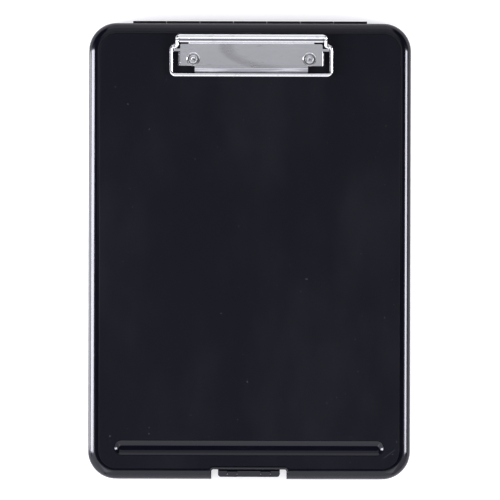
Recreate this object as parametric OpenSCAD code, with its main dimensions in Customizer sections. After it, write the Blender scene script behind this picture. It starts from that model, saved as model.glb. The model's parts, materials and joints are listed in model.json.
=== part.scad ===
// Storage clipboard box: a shallow tray with a hinged writing lid, a swing latch
// and a low wire clip. The origin is the centre of the tray's footprint, +Z is up
// and +Y points to the hinge.

/* [Case] */
// Width of the case
case_w = 241.5; // [200:0.5:300]
// Length of the case, from the latch edge to the hinge edge
case_l = 342; // [280:1:420]
// Radius of the case's upright corners
corner_r = 21; // [17:0.5:26]
// Thickness of the moulded walls, floor and writing panel
wall = 2.2; // [1.8:0.1:2.8]
// Height of the tray
tray_h = 14; // [11.5:0.5:40]
// Height of the lid's side wall
lid_h = 10.1; // [9.5:0.1:16]
// Gap between the tray and the closed lid
seam_gap = 0.3; // [0.2:0.05:0.4]
// Radius of the lid's round top edge
lid_edge_r = 6.8; // [5:0.1:7]
// Radius of the tray's round bottom edge
tray_edge_r = 3; // [2.4:0.1:5]

/* [Writing panel] */
// Width of the flat rim between the round edge and the crease
rim_flat = 0.6; // [0.2:0.1:3]
// Height of the panel above the lid's rim
panel_rise = 0.5; // [0.2:0.1:1]
// Width of the crease around the panel
crease_w = 0.9; // [0.5:0.1:1.2]
// Depth of the crease below the rim
crease_depth = 0.4; // [0.2:0.1:0.6]

/* [Pen groove] */
// Distance from the case's side to the groove's end
groove_margin = 20; // [18:0.5:60]
// Width of the groove
groove_w = 10.4; // [8:0.2:12]
// Depth of the groove
groove_depth = 2.1; // [1.2:0.1:2.4]
// Distance from the latch edge to the groove's middle
groove_from_front = 23.3; // [20:0.1:40]

/* [Lid hinge] */
// Distance from the case's upright corners to the row of knuckles
hinge_margin = 12; // [6:0.5:40]
// Radius of a knuckle
knuckle_r = 2.4; // [2.2:0.1:2.6]
// How far the knuckles stand out behind the case
hinge_proud = 1.6; // [1.4:0.1:1.9]
// Height of the hinge axis above the tray's top edge
hinge_lift = 1.5; // [1.5:0.1:1.8]
// Number of knuckles, an odd number
knuckle_count = 7; // [5:2:11]
// Gap between two knuckles
knuckle_gap = 0.4; // [0.3:0.1:0.8]
// Radius of the hinge rod
rod_r = 1; // [0.8:0.05:1.2]
// Radial clearance of every pin and journal in its hole
pin_clearance = 0.05; // [0.03:0.01:0.08]

/* [Latch] */
// Width of the notch in the front edge
notch_w = 56.4; // [50:0.2:80]
// Depth of the notch
notch_depth = 7.2; // [7.2:0.1:9]
// Radius of the notch's inner corners
notch_r = 1.5; // [1:0.1:2.5]
// Width of the rim that the crease leaves around the notch
notch_rim = 2.1; // [1.4:0.1:3]
// Gap between the latch's end and the notch's side
latch_side_gap = 5; // [1:0.1:5]
// Radius of the latch's barrel
latch_barrel_r = 2.45; // [2.3:0.05:2.5]
// Thickness of the latch's plate
latch_t = 2.2; // [1.8:0.1:2.3]
// Gap between the barrel and the back of the notch
latch_back_gap = 0.7; // [0.5:0.05:0.9]
// Depth of the latch's axis below the lid's rim
latch_drop = 3.8; // [3.4:0.1:4.4]
// Height of the latch's lower end above the table
latch_foot_z = 4; // [3:0.5:5]
// Radius of the latch pin
latch_pin_r = 0.8; // [0.7:0.05:1]

/* [Clip] */
// Sideways offset of the clip from the board's middle
clip_x = 1; // [-4:0.1:4]
// Distance from the hinge edge to the clip's pivot
clip_from_back = 17.6; // [16:0.1:24]
// Distance from the middle of the clip to the middle of a bail leg
bail_half_w = 60; // [48:0.5:72]
// Radius of the bail's wire
wire_r = 1.4; // [1.2:0.05:1.45]
// Distance from the pivot back to the middle of the thumb rail
rail_reach = 7.4; // [6.1:0.1:9]
// Thickness of the thumb rail's rolled wall
rail_wall = 0.35; // [0.25:0.05:0.5]
// Angle by which the clip opens before its rail meets the stop
clip_travel = 22; // [18:0.5:24]
// Length of the plate's full width ahead of the pivot
plate_reach = 14.4; // [12:0.1:18]
// Length of the plate's narrow front ahead of its full width
tongue_reach = 1.9; // [1:0.1:4]
// Length of the sloping front lip, seen from above
lip_reach = 3.3; // [2:0.1:4]
// Distance from the plate's side to the side of the lip
lip_inset = 11; // [6:0.5:20]
// Thickness of the clip's sheet steel
sheet_t = 0.8; // [0.6:0.1:1]
// Height of the plate's top above the panel
plate_rise = 3.2; // [2.8:0.1:3.6]

/* [Rivets] */
// Distance from the plate's side to a rivet
rivet_inset = 9.9; // [8:0.1:20]
// Distance from the pivot forward to a rivet
rivet_ahead = 9.4; // [8:0.1:10]
// Radius of a rivet's shank
rivet_r = 1.75; // [1.5:0.05:1.8]
// Radius of a rivet's rolled head
rivet_head_r = 3.15; // [2.9:0.05:3.3]

/* [Hidden] */
$fn = 96;
// Distance by which joined shapes sink into each other
sink = 0.01;
// Distance by which cutting tools pass the faces that they cut
over = 1;
// Gap between pieces that lie on each other or pass closely
free_gap = 0.3;

case_black = [0.10, 0.10, 0.115];
lid_black = [0.11, 0.11, 0.13];
pin_grey = [0.62, 0.63, 0.65];
plating = [0.70, 0.70, 0.74];
bright_plating = [0.82, 0.82, 0.85];

lid_z = tray_h + seam_gap;
rim_z = lid_z + lid_h;
panel_z = rim_z + panel_rise;
roof_z = panel_z - wall;
front_y = -case_l / 2;
back_y = case_l / 2;
hollow_w = case_w - 2 * wall;
hollow_l = case_l - 2 * wall;
hollow_r = corner_r - wall;

panel_inset = lid_edge_r + rim_flat;
groove_l = case_w - 2 * groove_margin;
groove_wall = 1.8;

// Lid hinge
hinge_l = case_w - 2 * corner_r - 2 * hinge_margin;
hinge_y = back_y + hinge_proud - knuckle_r;
hinge_z = tray_h + hinge_lift;
knuckle_l = (hinge_l - (knuckle_count - 1) * knuckle_gap) / knuckle_count;
knuckle_pitch = knuckle_l + knuckle_gap;
pocket_gap = 0.35;
pocket_r = knuckle_r + pocket_gap;
beam_wall = 1.65;
beam_y = hinge_y - pocket_r - beam_wall;
rod_recess = 0.5;

// Tongue of the tray inside the lid
tongue_t = 1;
tongue_h = 2;
tongue_root = 2.5;
tongue_back = back_y - 2 * corner_r;

// Latch, measured from its axis
latch_w = notch_w - 2 * latch_side_gap;
notch_y = front_y + notch_depth;
latch_y = notch_y - latch_back_gap - latch_barrel_r;
latch_z = rim_z - latch_drop;
latch_corner_r = 2.2;
lug_x = 12.5;
lug_w = 7;
lug_gap = 0.25;
lug_arm_rise = 0.45;
lug_arm_h = 2.4;
hook_z = 6;
hook_t = 2.1;
hook_tip_gap = 0.4;
catch_z = hook_z + hook_t + free_gap;
catch_h = 1.6;
catch_depth = 1.5;

// Clip, measured from its pivot
clip_y = back_y - clip_from_back;
journal_step = 0.05;
journal_r = wire_r - journal_step;
journal_l = 1;
journal_sink = 0.15;
ear_wall = 1;
ear_r = journal_r + pin_clearance + ear_wall;
ear_gap = 0.2;
ear_t = 0.8;
pivot_rise = ear_r + ear_gap;
clip_z = panel_z + pivot_rise;
bar_gap = 0.25;
lip_gap = 0.2;
bail_reach = plate_reach + tongue_reach + lip_reach + lip_gap + wire_r;
bail_drop = pivot_rise - wire_r - bar_gap;
bail_tilt = atan(bail_drop / bail_reach);
bail_arm = norm([bail_reach, bail_drop]);
corner_inner_r = 1.6;
bail_corner_r = wire_r + corner_inner_r;
bend_inner_r = 0.2;
leg_bend_r = wire_r + bend_inner_r;
journal_x = bail_half_w - leg_bend_r - journal_l / 2;
arm_x = journal_x - journal_l / 2 - leg_bend_r;

// Thumb rail and the ridge along its front
rail_r = wire_r + pin_clearance + rail_wall;
rail_lift = 2.8;
rail_tilt = atan(rail_lift / rail_reach);
rail_arm = norm([rail_reach, rail_lift]);
rail_grip = 8;
rail_end_gap = 0.05;
rail_half = arm_x - leg_bend_r - rail_end_gap;
valley_w = 0.6;
ridge_r = 0.9;
ridge_y = rail_reach - rail_r - valley_w - ridge_r;
ridge_z = 1.4;
web_half_t = 0.4;
web_rise = 0.6;

// Plate, with its spring strip, lip, flanges and ears
arm_gap = 0.9;
plate_w = 2 * (arm_x - wire_r - arm_gap);
plate_top = plate_rise - pivot_rise;
strip_gap = 0.1;
strip_run = 1.1;
strip_t = 0.6;
strip_inset = 7;
strip_half = rail_half - strip_inset;
plate_back = ridge_y - ridge_r - strip_gap - strip_run;
slope_drop = plate_rise - sheet_t - free_gap;
flange_reach = 1.4;
flange_gap = 0.6;
ear_tab_w = 1.9;
ear_tab_near = wire_r + ear_gap;
ear_tab_far = ear_tab_near + ear_tab_w;

// Rivets, their dimples in the plate and their washers
rivet_x = plate_w / 2 - rivet_inset;
dimple_foot_gap = 0.35;
dimple_foot_r = rivet_head_r + dimple_foot_gap;
dimple_slope = 1.2;
dimple_r = dimple_foot_r + dimple_slope;
dimple_floor = 0.8;
rivet_wall = 0.45;
rivet_bore_r = rivet_r - rivet_wall;
rivet_head_h = 1.2;
rivet_head_round = 0.5;
rivet_flare_w = 1;
rivet_flare_r = rivet_r + rivet_flare_w;
rivet_flare_t = 0.6;
washer_margin = 1.75;
washer_r = rivet_flare_r + washer_margin;
washer_t = 0.8;

// Stop under the thumb rail
stop_w = 15.6;
stop_l = 5.4;
stop_gap = 0.12;
stop_h = pivot_rise + rail_arm * sin(rail_tilt - clip_travel) - rail_r - stop_gap;
stop_offset = 0.6;

// Half section of a block with a round top edge: x runs outwards, y runs up
module edge_section(reach, h, edge) {
  difference() {
    square([reach, h]);
    difference() {
      translate([reach - edge, h - edge]) square(edge + over);
      translate([reach - edge, h - edge]) circle(edge);
    }
  }
}

// Block with upright corners of radius r and a top edge of radius edge
module soft_block(w, l, r, h, edge) {
  translate([r - w / 2, r - l / 2, 0]) cube([w - 2 * r, l - 2 * r, h]);
  for (k = [0:3]) {
    half = (k % 2 == 0 ? w : l) / 2;
    run = (k % 2 == 0 ? l : w) - 2 * r;
    rotate([0, 0, 90 * k]) translate([half - r, run / 2, 0]) {
      rotate([90, 0, 0]) linear_extrude(run) edge_section(r, h, edge);
      rotate_extrude(angle = 90) edge_section(r, h, edge);
    }
  }
}

// Block with sharp edges, inset from the case's sides
module inset_block(inset, z, h) {
  w = case_w - 2 * inset;
  l = case_l - 2 * inset;
  r = corner_r - inset;
  translate([0, 0, z]) linear_extrude(h) {
    square([w - 2 * r, l], center = true);
    square([w, l - 2 * r], center = true);
    for (x = [-1, 1], y = [-1, 1])
      translate([x * (w / 2 - r), y * (l / 2 - r)]) circle(r);
  }
}

module x_rod(r, l) {
  rotate([0, 90, 0]) cylinder(r = r, h = l, center = true);
}

module both_sides() {
  for (s = [0, 1]) mirror([s, 0, 0]) children();
}

// Space of the notch, with grow added all round
module notch_space(grow, z, h) {
  r = notch_r + grow;
  half = notch_w / 2 + grow;
  depth = notch_depth + grow;
  translate([0, front_y, z]) linear_extrude(h) {
    translate([-half, -over]) square([2 * half, depth + over - r]);
    translate([r - half, -over]) square([2 * (half - r), depth + over]);
    for (s = [-1, 1]) translate([s * (half - r), depth - r]) circle(r);
  }
}

// Beam inside the back wall, behind the hinge's pockets
module hinge_beam(z, h) {
  l = hinge_l + 2 * wall;
  translate([-l / 2, beam_y, z]) cube([l, back_y - beam_y, h]);
}

function knuckle_x(i) = (i - (knuckle_count - 1) / 2) * knuckle_pitch;

// Every second knuckle's place, from knuckle number first
module at_knuckles(first) {
  for (i = [first:2:knuckle_count - 1])
    translate([knuckle_x(i), hinge_y, hinge_z]) children();
}

module hinge_pocket() {
  x_rod(pocket_r, knuckle_l + 2 * knuckle_gap);
}

module hinge_bore() {
  translate([0, hinge_y, hinge_z]) x_rod(rod_r + pin_clearance, hinge_l + 2 * over);
}

// Web from a knuckle down to the tray's wall
module knuckle_web() {
  h = hinge_lift + wall;
  translate([-knuckle_l / 2, back_y - wall - hinge_y, -h]) cube([knuckle_l, wall, h]);
}

// Moulded tray with its tongue, catch and hinge knuckles
module base_tray() {
  color(case_black) difference() {
    union() {
      difference() {
        translate([0, 0, tray_h]) mirror([0, 0, 1])
          soft_block(case_w, case_l, corner_r, tray_h, tray_edge_r);
        tray_hollow();
        at_knuckles(1) hinge_pocket();
      }
      tray_tongue();
      at_knuckles(0) {
        x_rod(knuckle_r, knuckle_l);
        knuckle_web();
      }
    }
    difference() {
      notch_space(0, -over, tray_h + tongue_h + 2 * over);
      latch_catch();
    }
    hinge_bore();
  }
}

// Hollow of the tray, which leaves the walls of the notch and the hinge beam
module tray_hollow() {
  difference() {
    translate([0, 0, tray_h + over]) mirror([0, 0, 1])
      soft_block(hollow_w, hollow_l, hollow_r, tray_h + over - wall, tray_edge_r - wall / 2);
    notch_space(wall, 0, tray_h);
    hinge_beam(0, tray_h);
  }
}

// Thin rim on the tray's front and sides that locates the lid
module tray_tongue() {
  reach = wall + free_gap;
  top = tray_h + tongue_h;
  difference() {
    union() {
      inset_block(wall - sink, tray_h - tongue_root, tongue_root);
      inset_block(reach, tray_h - sink, tongue_h);
    }
    inset_block(reach + tongue_t, 0, top + over);
    notch_space(wall + free_gap, 0, top + over);
    translate([-case_w / 2, tongue_back, 0]) cube([case_w, case_l, top + over]);
  }
}

// Ledge in the notch that the latch hooks under
module latch_catch() {
  translate([-latch_w / 2, notch_y - catch_depth, catch_z])
    cube([latch_w, catch_depth + over, catch_h]);
}

// Moulded lid with the writing panel, pen groove, notch and hinge knuckles
module lid_board() {
  color(lid_black) difference() {
    union() {
      difference() {
        union() {
          translate([0, 0, lid_z])
            soft_block(case_w, case_l, corner_r, lid_h, lid_edge_r);
          panel_block(0, rim_z - over, panel_rise + over);
        }
        panel_crease();
        lid_hollow();
        at_knuckles(0) hinge_pocket();
      }
      at_knuckles(1) x_rod(knuckle_r, knuckle_l);
      rail_stop();
    }
    difference() {
      notch_space(0, lid_z - over, lid_h + 2 * over);
      latch_lugs();
    }
    latch_bore();
    hinge_bore();
    pen_groove(0);
    at_rivets() cylinder(r = rivet_r + pin_clearance, h = 3 * wall, center = true);
  }
}

// Block under the panel, which runs around the notch, shrunk all round
module panel_block(shrink, z, h) {
  difference() {
    inset_block(panel_inset + shrink, z, h);
    notch_space(notch_rim + shrink, z - over, h + 2 * over);
  }
}

// Ring cut between the rounded rim and the raised panel
module panel_crease() {
  bottom = rim_z - crease_depth;
  difference() {
    panel_block(0, bottom, panel_z - bottom + over);
    panel_block(crease_w, bottom - over, panel_z - bottom + 3 * over);
  }
}

// Hollow of the lid, which leaves the walls of the notch, hinge and groove
module lid_hollow() {
  bottom = lid_z - over;
  difference() {
    translate([0, 0, bottom])
      soft_block(hollow_w, hollow_l, hollow_r, roof_z - bottom, lid_edge_r - wall);
    notch_space(wall, bottom - over, lid_h + 2 * over);
    hinge_beam(bottom - over, lid_h + 2 * over);
    pen_groove(groove_wall);
  }
}

// Groove with round ends, with grow added all round
module pen_groove(grow) {
  half_w = groove_w / 2;
  r = (half_w * half_w + groove_depth * groove_depth) / (2 * groove_depth);
  straight = groove_l - groove_w;
  translate([0, front_y + groove_from_front, panel_z + r - groove_depth]) {
    x_rod(r + grow, straight);
    for (s = [-1, 1]) translate([s * straight / 2, 0, 0]) rotate([0, 90, 0]) sphere(r + grow);
  }
}

// Low stop on the panel under the thumb rail
module rail_stop() {
  translate([clip_x - stop_w / 2, clip_y + rail_reach + stop_offset - stop_l / 2, panel_z - sink])
    cube([stop_w, stop_l, stop_h + sink]);
}

// Lugs on the lid that carry the latch
module latch_lugs() {
  arm = latch_back_gap + latch_barrel_r + over;
  for (s = [-1, 1]) translate([s * lug_x, latch_y, latch_z]) {
    x_rod(latch_barrel_r, lug_w);
    translate([-lug_w / 2, 0, lug_arm_rise - latch_barrel_r]) cube([lug_w, arm, lug_arm_h]);
  }
}

module latch_bore() {
  translate([0, latch_y, latch_z]) x_rod(latch_pin_r + pin_clearance, latch_w + over);
}

module lid_hinge_rod() {
  color(pin_grey) translate([0, hinge_y, hinge_z]) x_rod(rod_r, hinge_l - 2 * rod_recess);
}

// Swing latch: a barrel, a plate that hangs from it and a hook at its foot
module latch_clasp() {
  foot = latch_foot_z - latch_z;
  hook = hook_z - latch_z;
  hook_reach = notch_y - hook_tip_gap - latch_y;
  color(case_black) difference() {
    translate([0, latch_y, latch_z]) intersection() {
      union() {
        x_rod(latch_barrel_r, latch_w);
        translate([-latch_w / 2, -latch_barrel_r, foot]) cube([latch_w, latch_t, -foot]);
        translate([-latch_w / 2, -latch_barrel_r, hook])
          cube([latch_w, hook_reach + latch_barrel_r, hook_t]);
      }
      latch_outline(foot);
    }
    for (s = [-1, 1]) translate([s * lug_x, latch_y, latch_z])
      x_rod(latch_barrel_r + lug_gap, lug_w + 2 * lug_gap);
    latch_bore();
  }
}

// Plan outline of the latch, with round front corners
module latch_outline(foot) {
  depth = 2 * latch_barrel_r + latch_back_gap;
  half = latch_w / 2;
  r = latch_corner_r;
  translate([0, -latch_barrel_r, foot - over]) linear_extrude(latch_barrel_r - foot + 2 * over) {
    translate([-half, r]) square([latch_w, depth - r]);
    translate([r - half, 0]) square([latch_w - 2 * r, depth]);
    for (s = [-1, 1]) translate([s * (half - r), r]) circle(r);
  }
}

module latch_pin() {
  color(pin_grey) translate([0, latch_y, latch_z])
    x_rod(latch_pin_r, latch_w - 2 * latch_corner_r);
}

module at_clip() {
  translate([clip_x, clip_y, clip_z]) children();
}

// Place of a rivet on the panel's top face
module at_rivet(side) {
  translate([clip_x + side * rivet_x, clip_y - rivet_ahead, panel_z]) children();
}

module at_rivets() {
  for (s = [-1, 1]) at_rivet(s) children();
}

// Pressed plate of the clip, with its lip, flanges, ears and rivet dimples
module clip_plate() {
  bottom = plate_top - sheet_t;
  color(plating) difference() {
    union() {
      at_clip() {
        translate([-plate_w / 2, -plate_reach, bottom])
          cube([plate_w, plate_reach + plate_back, sheet_t]);
        translate([lip_inset - plate_w / 2, -plate_reach - tongue_reach, bottom])
          cube([plate_w - 2 * lip_inset, tongue_reach + over, sheet_t]);
        front_lip();
        both_sides() {
          side_flange();
          clip_ear();
        }
      }
      at_rivets() cylinder(r1 = dimple_foot_r + sheet_t, r2 = dimple_r + sheet_t, h = plate_rise);
    }
    at_rivets() translate([0, 0, dimple_floor])
      cylinder(r1 = dimple_foot_r, r2 = dimple_r, h = plate_rise - dimple_floor + sink);
    at_rivets() cylinder(r = rivet_r + pin_clearance, h = plate_rise);
  }
}

// Lip that slopes from the plate towards the panel
module front_lip() {
  translate([lip_inset - plate_w / 2, -plate_reach - tongue_reach, plate_top]) rotate([90, 0, 90])
    linear_extrude(plate_w - 2 * lip_inset)
      polygon([[0, 0], [0, -sheet_t], [-lip_reach, -sheet_t - slope_drop], [-lip_reach, -slope_drop]]);
}

// Flange that slopes outwards from the plate's side towards the panel
module side_flange() {
  start = ear_tab_far + flange_gap;
  translate([plate_w / 2, -start, plate_top]) rotate([90, 0, 0])
    linear_extrude(plate_reach - start)
      polygon([
        [-sheet_t, 0], [0, 0],
        [flange_reach, -slope_drop], [flange_reach - sheet_t, -slope_drop]
      ]);
}

// Ear that carries the bail's journal
module clip_ear() {
  bottom = plate_top - sheet_t;
  inner = plate_w / 2 - over;
  outer = journal_x + ear_t / 2;
  difference() {
    union() {
      translate([journal_x, 0, 0]) x_rod(ear_r, ear_t);
      translate([outer - ear_t, -ear_tab_far, bottom]) cube([ear_t, ear_tab_far, sheet_t]);
      translate([inner, -ear_tab_far, bottom])
        cube([outer - inner, ear_tab_far - ear_tab_near, sheet_t]);
    }
    translate([journal_x, 0, 0]) x_rod(journal_r + pin_clearance, ear_t + over);
  }
}

// Springy strip between the plate and the thumb rail
module clip_spring_strip() {
  rise = ridge_z - plate_top + strip_t;
  color(plating) at_clip() translate([-strip_half, plate_back, plate_top]) rotate([90, 0, 90])
    linear_extrude(2 * strip_half)
      polygon([[0, 0], [strip_run, rise], [strip_run, rise - strip_t], [strip_t, -strip_t], [0, -strip_t]]);
}

// Rolled rail that the thumbs press, with a ridge along its front
module clip_thumb_rail() {
  low = rail_lift - rail_r + web_rise - web_half_t;
  color(plating) at_clip() difference() {
    union() {
      translate([0, rail_reach, rail_lift]) x_rod(rail_r, 2 * rail_half);
      translate([0, ridge_y, ridge_z]) x_rod(ridge_r, 2 * rail_half);
      translate([-rail_half, 0, 0]) rotate([90, 0, 90]) linear_extrude(2 * rail_half)
        polygon([
          [ridge_y, ridge_z + web_half_t], [ridge_y, ridge_z - web_half_t],
          [rail_reach, low], [rail_reach, low + 2 * web_half_t]
        ]);
    }
    both_sides() translate([rail_half, rail_reach, rail_lift])
      x_rod(wire_r + pin_clearance, 2 * rail_grip + over);
  }
}

// Quarter turn of wire, from +X to +Y about the origin
module wire_bend(r) {
  rotate_extrude(angle = 90) translate([r, 0]) circle(wire_r);
}

// Bent wire: its bar, legs, journals in the ears and arms in the rail
module clip_wire_bail() {
  color(bright_plating) at_clip() {
    rotate([bail_tilt, 0, 0]) bail_frame();
    both_sides() {
      rotate([rail_tilt, 0, 0]) rail_arm_wire();
      translate([journal_x, 0, 0]) x_rod(journal_r, journal_l + 2 * journal_sink);
    }
  }
}

// Bar, corners and legs, in the plane of the bail
module bail_frame() {
  turn = bail_corner_r;
  translate([0, -bail_arm, 0]) x_rod(wire_r, 2 * (bail_half_w - turn));
  both_sides() {
    translate([bail_half_w - turn, turn - bail_arm, 0]) rotate([0, 0, -90]) wire_bend(turn);
    translate([bail_half_w, turn - bail_arm, 0]) rotate([-90, 0, 0])
      cylinder(r = wire_r, h = bail_arm - turn - leg_bend_r);
    translate([bail_half_w - leg_bend_r, -leg_bend_r, 0]) wire_bend(leg_bend_r);
  }
}

// One arm from its journal into the end of the rail
module rail_arm_wire() {
  end_x = arm_x - leg_bend_r;
  translate([arm_x + leg_bend_r, leg_bend_r, 0]) rotate([0, 0, 180]) wire_bend(leg_bend_r);
  translate([arm_x, leg_bend_r, 0]) rotate([-90, 0, 0])
    cylinder(r = wire_r, h = rail_arm - 2 * leg_bend_r);
  translate([end_x, rail_arm - leg_bend_r, 0]) wire_bend(leg_bend_r);
  translate([end_x - rail_grip / 2, rail_arm, 0]) x_rod(wire_r, rail_grip);
}

// Half section of a rivet's rolled head
module rivet_head_section() {
  difference() {
    square([rivet_head_r, rivet_head_h]);
    translate([rivet_head_r - rivet_head_round, rivet_head_h - rivet_head_round]) difference() {
      square(rivet_head_round + over);
      circle(rivet_head_round);
    }
  }
}

// Tubular rivet with a rolled head above and a flared end below its washer
module rivet(side) {
  seat = -wall - washer_t;
  color(bright_plating) at_rivet(side) difference() {
    union() {
      translate([0, 0, seat]) cylinder(r = rivet_r, h = dimple_floor - seat);
      translate([0, 0, dimple_floor]) rotate_extrude() rivet_head_section();
      translate([0, 0, seat - rivet_flare_t]) cylinder(r = rivet_flare_r, h = rivet_flare_t);
    }
    translate([0, 0, seat - over]) cylinder(r = rivet_bore_r, h = plate_rise - seat + over);
  }
}

module rivet_washer(side) {
  color(pin_grey) at_rivet(side) translate([0, 0, -wall - washer_t]) difference() {
    cylinder(r = washer_r, h = washer_t);
    translate([0, 0, -over]) cylinder(r = rivet_r + pin_clearance, h = washer_t + 2 * over);
  }
}

base_tray();
lid_board();
lid_hinge_rod();
latch_clasp();
latch_pin();
clip_plate();
clip_spring_strip();
clip_thumb_rail();
clip_wire_bail();
rivet(-1);  // rivet_left
rivet(1);  // rivet_right
rivet_washer(-1);  // rivet_washer_left
rivet_washer(1);  // rivet_washer_right
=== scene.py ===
"""A storage clipboard box: a shallow tray, a hinged writing lid, a swing latch and a wire clip."""

import json
import math

import bmesh
import bpy
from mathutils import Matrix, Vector


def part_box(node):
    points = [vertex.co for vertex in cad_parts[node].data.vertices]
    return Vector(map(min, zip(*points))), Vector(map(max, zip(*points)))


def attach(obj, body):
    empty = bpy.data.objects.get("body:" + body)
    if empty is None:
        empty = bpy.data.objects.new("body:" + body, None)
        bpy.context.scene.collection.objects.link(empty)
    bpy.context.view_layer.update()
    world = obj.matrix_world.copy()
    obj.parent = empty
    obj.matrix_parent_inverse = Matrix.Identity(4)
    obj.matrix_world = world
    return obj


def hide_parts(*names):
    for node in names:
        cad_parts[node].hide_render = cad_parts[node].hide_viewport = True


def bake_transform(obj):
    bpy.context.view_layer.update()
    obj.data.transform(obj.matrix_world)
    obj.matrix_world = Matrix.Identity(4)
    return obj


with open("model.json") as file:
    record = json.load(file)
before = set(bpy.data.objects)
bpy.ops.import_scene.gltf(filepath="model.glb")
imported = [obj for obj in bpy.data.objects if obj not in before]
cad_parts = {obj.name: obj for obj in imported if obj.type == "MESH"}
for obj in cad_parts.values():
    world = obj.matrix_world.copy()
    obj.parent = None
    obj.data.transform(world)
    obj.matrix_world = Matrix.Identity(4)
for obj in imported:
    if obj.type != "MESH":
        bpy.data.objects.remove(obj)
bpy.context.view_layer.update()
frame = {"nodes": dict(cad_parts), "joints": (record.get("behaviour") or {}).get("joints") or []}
bpy.ops.object.select_all(action="DESELECT")

# --- Tray -------------------------------------------------------------
# The lower shell of the case, injection moulded in black polypropylene with 2.2 mm walls.
# A thin tongue on its front and sides locates the lid, and four knuckles along its rear
# edge carry the hinge rod. The mould was polished, so the shell has a smooth sheen.
mm = 0.001
hair = 0.01 * mm  # how near counts as the same place
skim = 0.02 * mm  # keeps faces that meet from lying flush
bite = 0.1 * mm  # how far a joined block reaches into its neighbour
far = 20 * mm  # well clear of the case
tray_low, tray_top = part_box("base_tray")
case_w = tray_top.x - tray_low.x
front_y = tray_low.y
case_l = -2 * front_y
rear_y = case_l / 2
wall = 2.2 * mm
corner_r = 21 * mm
corner_segments = 18
tray_h = 14 * mm
tray_edge_r = 3 * mm
floor_r = tray_edge_r - wall / 2
lip_r = 0.35 * mm
tongue_h = 2 * mm
tongue_t = 1 * mm
tongue_gap = 0.3 * mm
tongue_root = 2.5 * mm
ledge = wall + tongue_gap
hollow_depth = tray_h - tongue_root - (ledge + tongue_t - wall) - wall - floor_r


def pivot(joint):
    """Where a joint of the case turns."""
    return next(j["pos_m"] for j in frame["joints"] if j["name"] == joint)


_, hinge_y, hinge_z = pivot("lid_hinge")
hinge_l = 175.5 * mm
bore_r, bore_l = 1.05 * mm, case_w / 1.3
knuckle_r = 2.395 * mm
knuckle_end_r = 0.3 * mm
knuckle_gap = 0.14 * mm
knuckle_count = 7
knuckle_l = (hinge_l - (knuckle_count - 1) * knuckle_gap) / knuckle_count
pocket_gap = 0.35 * mm
pocket_r = knuckle_r + pocket_gap
web_drop = 3.7 * mm
beam_t = 1.65 * mm
beam_y = hinge_y - pocket_r - beam_t
beam_half = hinge_l / 2 + wall
notch_half = 28.2 * mm
notch_depth = 7.2 * mm
notch_r = 1.5 * mm
notch_y = front_y + notch_depth
latch_half = 23.2 * mm
catch_reach = 1.5 * mm
catch_low, catch_top = 8.4 * mm, 10 * mm
catch_r = 0.4 * mm


def leave_edit():
    """Ends edit mode with nothing selected."""
    if bpy.context.mode != "OBJECT":
        bpy.ops.object.mode_set(mode="OBJECT")
    bpy.ops.object.select_all(action="DESELECT")


def object_mode(piece):
    """Leaves edit mode with only this piece selected."""
    leave_edit()
    piece.select_set(True)
    bpy.context.view_layer.objects.active = piece


def everything(part):
    """A test that every part of a mesh passes."""
    return True


def ends(test):
    """A test for edges, from a test that both their ends have to pass."""
    return lambda edge: all(test(v) for v in edge.verts)


def pick(piece, kind, test):
    """In edit mode, selects the verts, edges or faces of the piece that pass a test."""
    object_mode(piece)
    bpy.ops.object.mode_set(mode="EDIT")
    bpy.ops.mesh.select_mode(type={"verts": "VERT", "edges": "EDGE", "faces": "FACE"}[kind])
    bpy.ops.mesh.select_all(action="DESELECT")
    mesh = bmesh.from_edit_mesh(piece.data)
    for part in getattr(mesh, kind):
        part.select_set(bool(test(part)))
    mesh.select_flush_mode()
    bmesh.update_edit_mesh(piece.data)


def added(name):
    """The primitive just added, named, with its place and size in its mesh."""
    piece = bpy.context.object
    piece.name = name
    bpy.ops.object.transform_apply(location=True, rotation=True, scale=True)
    return piece


def block(name, low, high):
    """A box between two corners, as a start for a moulded or cut shape."""
    leave_edit()
    low, high = Vector(low), Vector(high)
    bpy.ops.mesh.primitive_cube_add(size=1, location=(low + high) / 2, scale=high - low)
    return added(name)


def upright(edge):
    """Whether an edge runs along Z."""
    run = edge.verts[0].co - edge.verts[1].co
    return math.hypot(run.x, run.y) < hair


def shift(x, y, z):
    """Moves what is selected."""
    bpy.ops.transform.translate(value=(x, y, z))


def facing(side):
    """A test for the level faces that look up, 1, or down, -1."""
    return lambda face: face.normal.z * side > 0.9


def soften(piece, test, radius, segments, kind="edges"):
    """Rounds the edges or corners that pass a test."""
    pick(piece, kind, test)
    affect = "EDGES" if kind == "edges" else "VERTICES"
    bpy.ops.mesh.bevel(offset=radius, segments=segments, affect=affect, clamp_overlap=False)


def arc(radius, segments, rising, inwards=1):
    """Steps round a quarter turn: out of a side into a top if rising, else over a lip and down."""
    turns = [math.pi / 2 * k / segments for k in range(segments + 1)]
    across, along = [1 - math.cos(t) for t in turns], [math.sin(t) for t in turns]
    if not rising:
        across, along = along, [-c for c in across]
    return [
        (radius * (across[k + 1] - across[k]), inwards * radius * (along[k + 1] - along[k]))
        for k in range(segments)
    ]


def shape_face(steps):
    """Works the selected flat face through steps of (distance inwards, distance along its normal)."""
    for inwards, rise in steps:
        if inwards > 0:
            bpy.ops.mesh.inset(thickness=inwards, depth=rise, use_even_offset=True)
            continue
        bpy.ops.mesh.extrude_region_shrink_fatten(TRANSFORM_OT_shrink_fatten={"value": rise})
        if inwards < 0:
            mesh = bmesh.from_edit_mesh(bpy.context.edit_object.data)
            face = next(f for f in mesh.faces if f.select)
            x = max(v.co.x for v in face.verts)
            y = max(v.co.y for v in face.verts)
            bpy.ops.transform.resize(
                value=(1 - inwards / x, 1 - inwards / y, 1), center_override=(0, 0, face.verts[0].co.z)
            )


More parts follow.
